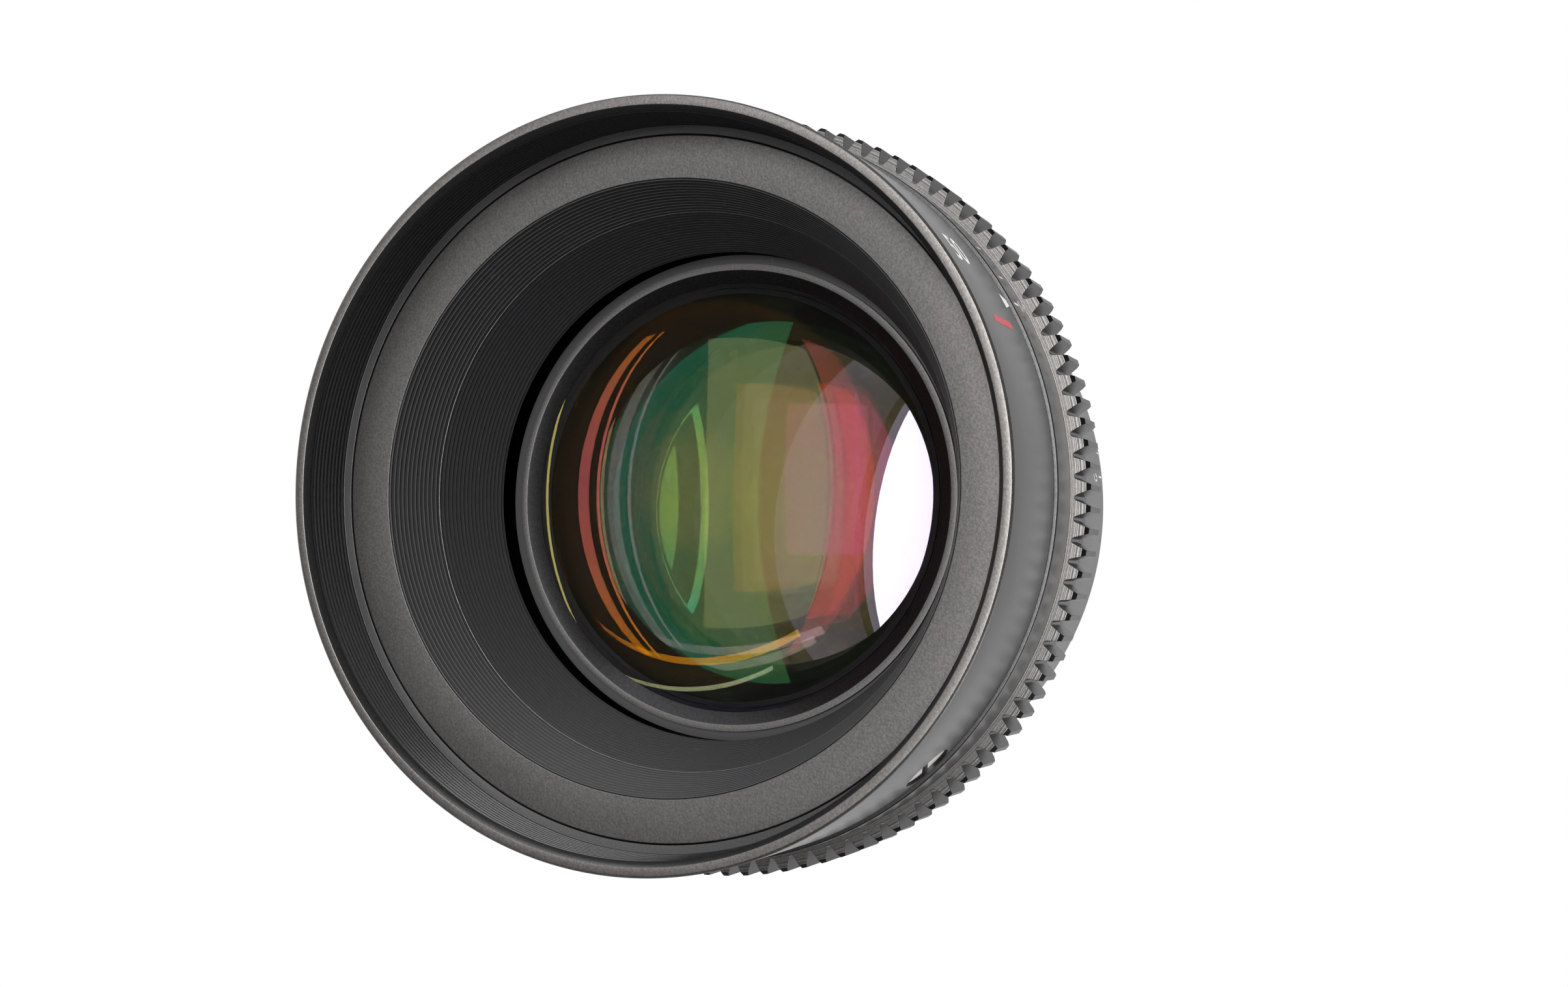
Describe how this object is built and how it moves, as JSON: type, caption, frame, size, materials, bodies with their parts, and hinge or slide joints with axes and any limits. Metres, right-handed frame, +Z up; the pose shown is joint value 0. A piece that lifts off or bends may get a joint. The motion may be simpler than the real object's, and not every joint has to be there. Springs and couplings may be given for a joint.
{
  "type": "cinema prime lens",
  "caption": "Full-frame 50 mm cinema prime lens with geared focus and iris rings, a bladed iris, sliding optics and a four-ear positive-lock mount.",
  "frame": {"origin": "centre of the camera seat, where the optical axis meets the flange face", "axes": "optical axis along Y with the front of the lens towards -Y and the mount register towards +Y, +Z up"},
  "size_m": [0.0928, 0.091, 0.0928],
  "materials": {
    "black_anodised": "satin black anodised",
    "satin_black": "turned black anodised",
    "blasted_grey": "bead-blasted dark anodised",
    "matt_black": "matt black anti-reflection",
    "gear_black": "hard black anodised",
    "coated_glass": "polished and multi-coated",
    "steel_screw": "turned steel",
    "mount_steel": "ground stainless steel",
    "roller_brass": "turned",
    "plain_aluminium": "turned",
    "iris_black": "matt black"
  },
  "bodies": {
    "housing": {"front_barrel": "black_anodised", "front_trim_ring": "blasted_grey", "front_light_baffle": "matt_black", "inner_light_baffle": "matt_black", "barrel_screws": "steel_screw", "front_collar": "black_anodised", "guide_barrel": "black_anodised", "rear_barrel": "black_anodised", "rear_barrel_screws": "steel_screw", "mount_flange": "mount_steel", "mount_screws": "mount_steel", "rear_light_shade": "matt_black"},
    "focus_ring": {"focus_ring": "black_anodised", "focus_gear": "gear_black", "cam_sleeve": "plain_aluminium", "sleeve_screws": "steel_screw"},
    "iris_ring": {"iris_ring": "black_anodised", "iris_gear": "gear_black", "iris_drive_pin": "steel_screw"},
    "optics": {"lens_carrier": "black_anodised", "follower_screws": "steel_screw", "follower_rollers": "roller_brass", "front_cell": "black_anodised", "front_retaining_ring": "satin_black", "front_element": "coated_glass", "front_spacer": "black_anodised", "second_element": "coated_glass", "front_doublet_crown": "coated_glass", "front_doublet_flint": "coated_glass", "front_group_ring": "black_anodised", "cell_screws": "steel_screw", "iris_housing": "black_anodised", "iris_screws": "steel_screw", "iris_base_plate": "iris_black", "rear_cell": "black_anodised", "rear_doublet_flint": "coated_glass", "rear_doublet_crown": "coated_glass", "rear_spacer": "black_anodised", "fifth_element": "coated_glass", "last_spacer": "black_anodised", "rear_element": "coated_glass", "rear_retaining_ring": "black_anodised"},
    "iris_rotor": {"iris_cam_plate": "iris_black", "iris_drive_fork": "iris_black"},
    "iris_blade_1": {"iris_blade_1": "iris_black"},
    "iris_blade_2": {"iris_blade_2": "iris_black"},
    "iris_blade_3": {"iris_blade_3": "iris_black"},
    "iris_blade_4": {"iris_blade_4": "iris_black"},
    "iris_blade_5": {"iris_blade_5": "iris_black"},
    "iris_blade_6": {"iris_blade_6": "iris_black"},
    "iris_blade_7": {"iris_blade_7": "iris_black"},
    "iris_blade_8": {"iris_blade_8": "iris_black"},
    "iris_blade_9": {"iris_blade_9": "iris_black"}
  },
  "joints": [
    {"name": "focus_turn", "type": "hinge", "parent": "housing", "child": "focus_ring", "pos_m": [0, -0.055, 0], "axis": [0, 1, 0], "range_deg": [0, 200]},
    {"name": "optics_slide", "type": "slide", "parent": "housing", "child": "optics", "axis": [0, 1, 0], "range_m": [0, 0.0073]},
    {"name": "iris_turn", "type": "hinge", "parent": "housing", "child": "iris_ring", "pos_m": [0, -0.03, 0], "axis": [0, 1, 0], "range_deg": [0, 75]},
    {"name": "rotor_turn", "type": "hinge", "parent": "optics", "child": "iris_rotor", "pos_m": [0, -0.026, 0], "axis": [0, 1, 0], "range_deg": [0, 75]},
    {"name": "blade_turn_1", "type": "hinge", "parent": "optics", "child": "iris_blade_1", "pos_m": [0.02506, -0.029, 0], "axis": [0, 1, 0], "range_deg": [0, 35]},
    {"name": "blade_turn_2", "type": "hinge", "parent": "optics", "child": "iris_blade_2", "pos_m": [0.0192, -0.029, 0.01611], "axis": [0, 1, 0], "range_deg": [0, 35]},
    {"name": "blade_turn_3", "type": "hinge", "parent": "optics", "child": "iris_blade_3", "pos_m": [0.00435, -0.029, 0.02468], "axis": [0, 1, 0], "range_deg": [0, 35]},
    {"name": "blade_turn_4", "type": "hinge", "parent": "optics", "child": "iris_blade_4", "pos_m": [-0.01253, -0.029, 0.0217], "axis": [0, 1, 0], "range_deg": [0, 35]},
    {"name": "blade_turn_5", "type": "hinge", "parent": "optics", "child": "iris_blade_5", "pos_m": [-0.02355, -0.029, 0.00857], "axis": [0, 1, 0], "range_deg": [0, 35]},
    {"name": "blade_turn_6", "type": "hinge", "parent": "optics", "child": "iris_blade_6", "pos_m": [-0.02355, -0.029, -0.00857], "axis": [0, 1, 0], "range_deg": [0, 35]},
    {"name": "blade_turn_7", "type": "hinge", "parent": "optics", "child": "iris_blade_7", "pos_m": [-0.01253, -0.029, -0.0217], "axis": [0, 1, 0], "range_deg": [0, 35]},
    {"name": "blade_turn_8", "type": "hinge", "parent": "optics", "child": "iris_blade_8", "pos_m": [0.00435, -0.029, -0.02468], "axis": [0, 1, 0], "range_deg": [0, 35]},
    {"name": "blade_turn_9", "type": "hinge", "parent": "optics", "child": "iris_blade_9", "pos_m": [0.0192, -0.029, -0.01611], "axis": [0, 1, 0], "range_deg": [0, 35]}
  ],
  "couplings": [
    {"joint": "optics_slide", "follows": "focus_turn", "m_per_rad": 0.0020913},
    {"joint": "rotor_turn", "follows": "iris_turn", "ratio": 1},
    {"joint": "blade_turn_1", "follows": "iris_turn", "ratio": 0.46667},
    {"joint": "blade_turn_2", "follows": "iris_turn", "ratio": 0.46667},
    {"joint": "blade_turn_3", "follows": "iris_turn", "ratio": 0.46667},
    {"joint": "blade_turn_4", "follows": "iris_turn", "ratio": 0.46667},
    {"joint": "blade_turn_5", "follows": "iris_turn", "ratio": 0.46667},
    {"joint": "blade_turn_6", "follows": "iris_turn", "ratio": 0.46667},
    {"joint": "blade_turn_7", "follows": "iris_turn", "ratio": 0.46667},
    {"joint": "blade_turn_8", "follows": "iris_turn", "ratio": 0.46667},
    {"joint": "blade_turn_9", "follows": "iris_turn", "ratio": 0.46667}
  ]
}
